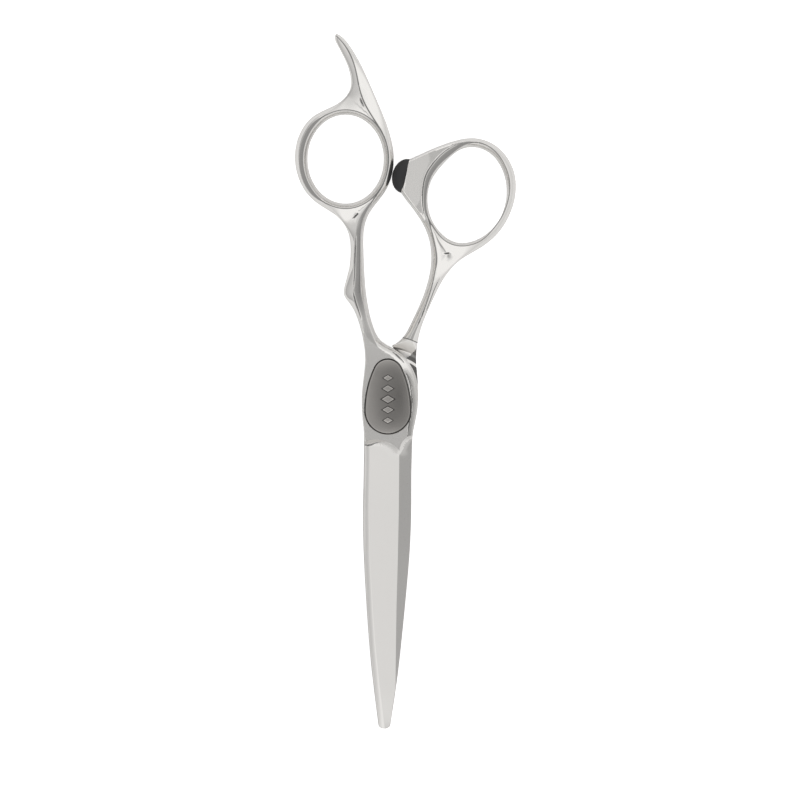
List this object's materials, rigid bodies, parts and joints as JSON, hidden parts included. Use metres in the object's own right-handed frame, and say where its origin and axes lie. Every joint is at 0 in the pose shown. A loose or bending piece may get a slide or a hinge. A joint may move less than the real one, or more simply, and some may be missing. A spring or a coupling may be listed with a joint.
{
  "type": "hair cutting shears",
  "caption": "Closed offset hair cutting shears with two polished handles, a fixed finger rest, an egg-shaped pivot cover plate and a rubber stop between the finger rings.",
  "frame": {"origin": "centre of the tension dial's back face, on the pivot axis", "axes": "+Z along the pivot axis towards the cover plate, +Y from the pivot towards the finger rings with the blade tips along -Y, +X towards the thumb ring's side"},
  "size_m": [0.0542, 0.1704, 0.0083],
  "materials": {
    "polished_steel": "forged stainless steel, mirror-polished handle, satin-ground blade",
    "satin_cap": "bead-blasted dark satin stainless steel with a burnished rim",
    "pin_steel": "drawn stainless pins",
    "bolt_steel": "turned and ground stainless steel",
    "white_ptfe": "waxy white fluoropolymer",
    "bronze": "oil-filled sintered bronze",
    "race_steel": "hardened and ground bearing steel",
    "brass_cage": "stamped brass sheet",
    "ball_steel": "mirror-bright chrome steel balls",
    "spring_steel": "blued spring steel",
    "dial_steel": "turned stainless steel, fine concentric lines",
    "nylon": "natural nylon",
    "black_rubber": "satin black moulded rubber"
  },
  "bodies": {
    "finger_side": {"finger_half": "polished_steel", "cover_plate": "satin_cap", "cover_pins": "pin_steel", "pivot_bolt": "bolt_steel", "glide_washer": "white_ptfe"},
    "thumb_side": {"thumb_half": "polished_steel", "pivot_bush": "bronze", "inner_race": "race_steel", "bumper": "black_rubber", "bumper_stud": "bolt_steel"},
    "bearing": {"ball_cage": "brass_cage", "bearing_balls": "ball_steel"},
    "dial": {"tension_dial": "dial_steel", "lock_insert": "nylon", "spring_washer": "spring_steel", "outer_race": "race_steel"}
  },
  "joints": [
    {"name": "blade_pivot", "type": "hinge", "parent": "finger_side", "child": "thumb_side", "pos_m": [0, 0, 0.0044], "axis": [0, 0, -1], "range_deg": [0, 110]},
    {"name": "bearing_turn", "type": "hinge", "parent": "finger_side", "child": "bearing", "pos_m": [0, 0, 0.0022], "axis": [0, 0, -1], "range_deg": [0, 55]},
    {"name": "dial_turn", "type": "hinge", "parent": "finger_side", "child": "dial", "pos_m": [0, 0, 0], "axis": [0, 0, -1], "range_deg": [-180, 180]}
  ],
  "couplings": [
    {"joint": "bearing_turn", "follows": "blade_pivot", "ratio": 0.5}
  ]
}
